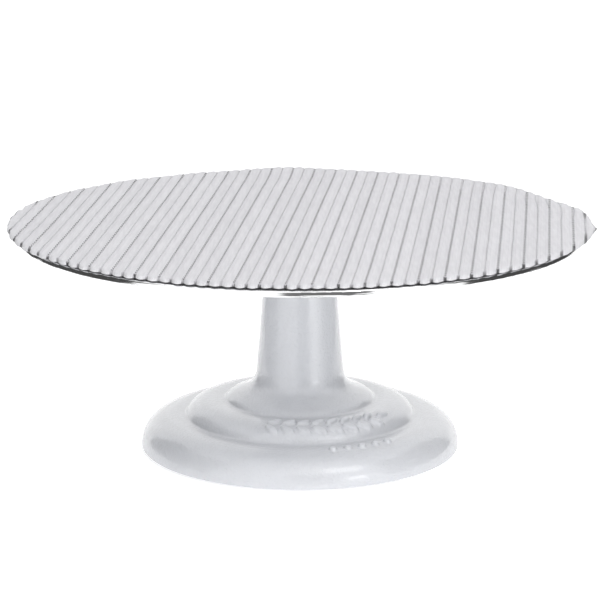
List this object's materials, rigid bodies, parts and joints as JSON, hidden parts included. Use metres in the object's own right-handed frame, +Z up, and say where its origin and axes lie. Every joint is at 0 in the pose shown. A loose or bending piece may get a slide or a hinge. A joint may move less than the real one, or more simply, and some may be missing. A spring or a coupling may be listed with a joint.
{
  "type": "cake turntable",
  "caption": "Free-standing revolving cake stand: round metal plate with a ribbed non-slip pad on a stepped, enamelled cast pedestal.",
  "frame": {"origin": "on the spin axis, at the surface that the rubber feet stand on", "axes": "+Z up along the spin axis, -Y towards the front, where the cast relief is, +X to the right"},
  "size_m": [0.314, 0.308, 0.1245],
  "materials": {
    "enamel": "glossy light grey enamel, flooded over a cast surface",
    "polished_aluminium": "polished rim, fine turned faces",
    "cast_aluminium": "turned, satin",
    "pad_weave": "coated open ribbed weave, matte",
    "rubber": "moulded, matte",
    "plated_steel": "zinc plated",
    "bearing_steel": "ground",
    "ball_steel": "polished",
    "ground_steel": "ground round, thin oil film",
    "pressed_steel": "pressed sheet",
    "spring_steel": "phosphated, dark",
    "bronze": "sintered, oily",
    "felt": "pressed felt"
  },
  "bodies": {
    "base": {"pedestal_casting": "enamel", "bearing_outer_ring": "bearing_steel", "bearing_shield_upper": "pressed_steel", "bearing_shield_lower": "pressed_steel", "bearing_circlip": "spring_steel", "dust_seal": "felt", "lower_bush": "bronze", "footstep_plug": "plated_steel", "lock_nut": "plated_steel", "rubber_foot_1": "rubber", "rubber_foot_2": "rubber", "rubber_foot_3": "rubber", "rubber_foot_4": "rubber", "foot_screws": "plated_steel", "foot_washers": "plated_steel"},
    "bearing_inner": {"bearing_inner_ring": "bearing_steel"},
    "ball_set": {"bearing_cage": "bronze", "bearing_balls": "ball_steel"},
    "thrust_ball": {"thrust_ball": "ball_steel"},
    "turntable": {"turntable_plate": "polished_aluminium", "hub_flange": "cast_aluminium", "hub_screws": "plated_steel", "spindle": "ground_steel", "spindle_pin": "spring_steel"},
    "pad": {"non_slip_pad": "pad_weave"}
  },
  "joints": [
    {"name": "turntable_spin", "type": "hinge", "parent": "base", "child": "bearing_inner", "pos_m": [0, 0, 0.0988], "axis": [0, 0, 1], "continuous": true},
    {"name": "plate_lift", "type": "slide", "parent": "bearing_inner", "child": "turntable", "axis": [0, 0, 1], "range_m": [0, 0.092]},
    {"name": "pad_lift", "type": "slide", "parent": "turntable", "child": "pad", "axis": [0, 0, 1], "range_m": [0, 0.05]},
    {"name": "ball_train", "type": "hinge", "parent": "base", "child": "ball_set", "pos_m": [0, 0, 0.0988], "axis": [0, 0, 1], "continuous": true},
    {"name": "thrust_ball_roll", "type": "hinge", "parent": "base", "child": "thrust_ball", "pos_m": [0, 0, 0.028], "axis": [0, 0, 1], "continuous": true}
  ],
  "couplings": [
    {"joint": "ball_train", "follows": "turntable_spin", "ratio": 0.381},
    {"joint": "thrust_ball_roll", "follows": "turntable_spin", "ratio": 0.5}
  ]
}
